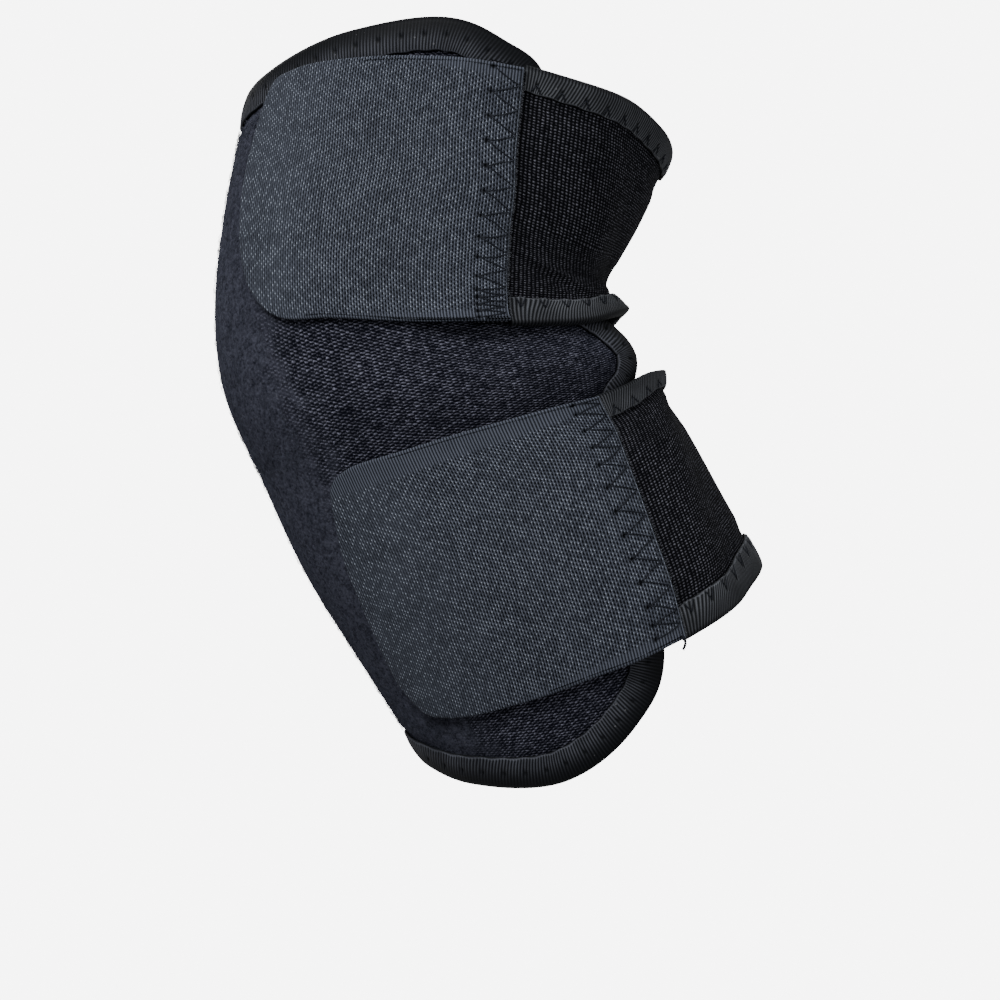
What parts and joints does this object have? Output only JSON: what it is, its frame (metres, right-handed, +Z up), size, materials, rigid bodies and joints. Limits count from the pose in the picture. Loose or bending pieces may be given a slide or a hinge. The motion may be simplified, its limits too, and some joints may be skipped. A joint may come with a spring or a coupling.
{
  "type": "elbow brace",
  "caption": "Wrap-round elbow brace of padded loop cloth in its worn, bent shape, with elastic straps across the crease, rounded hook tabs and ribbed bound edges.",
  "frame": {"origin": "the middle of the elbow, inside the hollow, at the height of the crease between the straps", "axes": "+Z up along the upper arm's side, +X towards the crease of the elbow, -Y towards the side on which the hook tabs close"},
  "size_m": [0.1364, 0.0978, 0.1839],
  "materials": {
    "loop_cloth": "brushed loop pile, matte",
    "strap_knit": "elastic knit, matte",
    "hook_tape": "woven hook tape, slight sheen",
    "binding_tape": "ribbed tape, slight sheen"
  },
  "bodies": {
    "root": {"body_panel": "loop_cloth", "body_binding": "binding_tape", "upper_strap": "strap_knit", "upper_inner_binding": "binding_tape", "upper_outer_binding": "binding_tape", "upper_hook_tab": "hook_tape", "lower_strap": "strap_knit", "lower_inner_binding": "binding_tape", "lower_outer_binding": "binding_tape", "lower_hook_tab": "hook_tape"}
  },
  "joints": []
}
